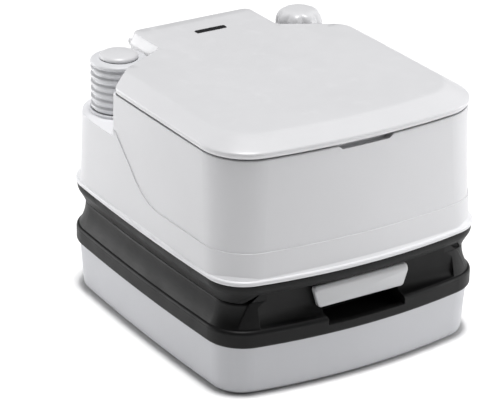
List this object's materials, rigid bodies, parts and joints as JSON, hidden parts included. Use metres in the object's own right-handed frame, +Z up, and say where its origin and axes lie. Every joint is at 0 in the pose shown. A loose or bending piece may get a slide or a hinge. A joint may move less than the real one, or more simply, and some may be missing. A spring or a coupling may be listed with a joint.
{
  "type": "portable toilet",
  "caption": "Two-piece portable camping toilet: fresh-water section with bowl, hinged seat and lid and bellows flush pump on a detachable waste tank with slide valve and pour spout.",
  "frame": {"origin": "centre of the footprint on the surface that it stands on", "axes": "+Z up, the valve handle faces -Y, the hinge is at +Y, +X is to the right seen from the front"},
  "size_m": [0.3832, 0.4271, 0.33],
  "materials": {
    "white_shell": "satin moulded",
    "white_cover": "satin moulded",
    "light_grey_tank": "satin moulded",
    "black_belt": "fine spark texture",
    "grey_handle": "satin moulded",
    "white_pump": "soft moulded",
    "white_bowl": "gloss",
    "grey_valve": "satin moulded",
    "black_rubber": "matt",
    "steel": "drawn",
    "hose": "translucent",
    "dark_badge": "gloss"
  },
  "bodies": {
    "waste_tank": {"waste_tank_bottom": "light_grey_tank", "waste_tank_top": "black_belt", "valve_gasket": "black_rubber", "valve_guide": "grey_valve", "valve_cover": "grey_valve", "lip_seal": "black_rubber", "valve_screws": "steel", "spout_collar": "grey_valve", "vent_collar": "grey_valve", "vent_spring": "steel"},
    "blade": {"valve_blade": "grey_valve", "valve_handle": "grey_handle", "handle_screws": "steel"},
    "spout_arm": {"spout": "grey_handle", "spout_retainer": "grey_valve"},
    "spout_plug": {"spout_cap_gasket": "black_rubber"},
    "spout_screw": {"spout_cap": "grey_handle"},
    "vent": {"vent_button": "grey_handle", "vent_seal": "black_rubber"},
    "latch": {"latch_slider": "grey_handle"},
    "section": {"fresh_tank_base": "black_belt", "fresh_tank_shell": "white_shell", "outlet_seal": "black_rubber", "latch_keeper": "steel", "keeper_screws": "steel", "bowl": "white_bowl", "pump_collar": "white_pump", "pump_bellows": "white_pump", "pump_valve_body": "grey_valve", "dip_tube": "hose", "intake_strainer": "grey_valve", "flush_hose": "hose", "flush_nozzle": "white_bowl", "fill_neck": "white_shell", "hinge_pin": "steel"},
    "pump": {"pump_top": "white_pump", "pump_cap": "white_pump"},
    "flap": {"pump_flap": "black_rubber"},
    "fill_plug": {"fill_cap_gasket": "black_rubber"},
    "fill_screw": {"fill_cap": "white_cover"},
    "seat_body": {"seat": "white_cover", "seat_bumpers": "black_rubber"},
    "lid_body": {"lid": "white_cover", "lid_bumpers": "black_rubber", "lid_badge": "dark_badge"}
  },
  "joints": [
    {"name": "section_lift", "type": "slide", "parent": "waste_tank", "child": "section", "axis": [0, 0, 1], "range_m": [0, 0.25]},
    {"name": "valve_slide", "type": "slide", "parent": "waste_tank", "child": "blade", "axis": [0, -1, 0], "range_m": [0, 0.11]},
    {"name": "spout_swing", "type": "hinge", "parent": "waste_tank", "child": "spout_arm", "pos_m": [-0.095, 0.165, 0.096], "axis": [0, 0, 1], "range_deg": [0, 90]},
    {"name": "spout_cap_pull", "type": "slide", "parent": "spout_arm", "child": "spout_plug", "axis": [1, 0, 0], "range_m": [0, 0.02]},
    {"name": "spout_cap_turn", "type": "hinge", "parent": "spout_plug", "child": "spout_screw", "pos_m": [0.014, 0.165, 0.096], "axis": [1, 0, 0], "range_deg": [0, 90]},
    {"name": "vent_press", "type": "slide", "parent": "waste_tank", "child": "vent", "axis": [0, 0, -1], "range_m": [0, 0.0035], "stiffness_N_per_m": 500, "springref_m": -0.001, "deforming": ["vent_spring"]},
    {"name": "latch_lock", "type": "slide", "parent": "waste_tank", "child": "latch", "axis": [1, 0, 0], "range_m": [0, 0.012]},
    {"name": "pump_press", "type": "slide", "parent": "section", "child": "pump", "axis": [0, 0, -1], "range_m": [0, 0.04], "stiffness_N_per_m": 700, "springref_m": -0.004, "deforming": ["pump_bellows"]},
    {"name": "flap_lift", "type": "slide", "parent": "section", "child": "flap", "axis": [0, 0, 1], "range_m": [0, 0.003]},
    {"name": "fill_cap_lift", "type": "slide", "parent": "section", "child": "fill_plug", "axis": [0, 0, 1], "range_m": [0, 0.06]},
    {"name": "fill_cap_turn", "type": "hinge", "parent": "fill_plug", "child": "fill_screw", "pos_m": [0.134, 0.151, 0.316], "axis": [0, 0, 1], "range_deg": [0, 90]},
    {"name": "seat_hinge", "type": "hinge", "parent": "section", "child": "seat_body", "pos_m": [0, 0.207, 0.307], "axis": [-1, 0, 0], "range_deg": [0, 95]},
    {"name": "lid_hinge", "type": "hinge", "parent": "seat_body", "child": "lid_body", "pos_m": [0, 0.207, 0.307], "axis": [-1, 0, 0], "range_deg": [0, 100]}
  ]
}
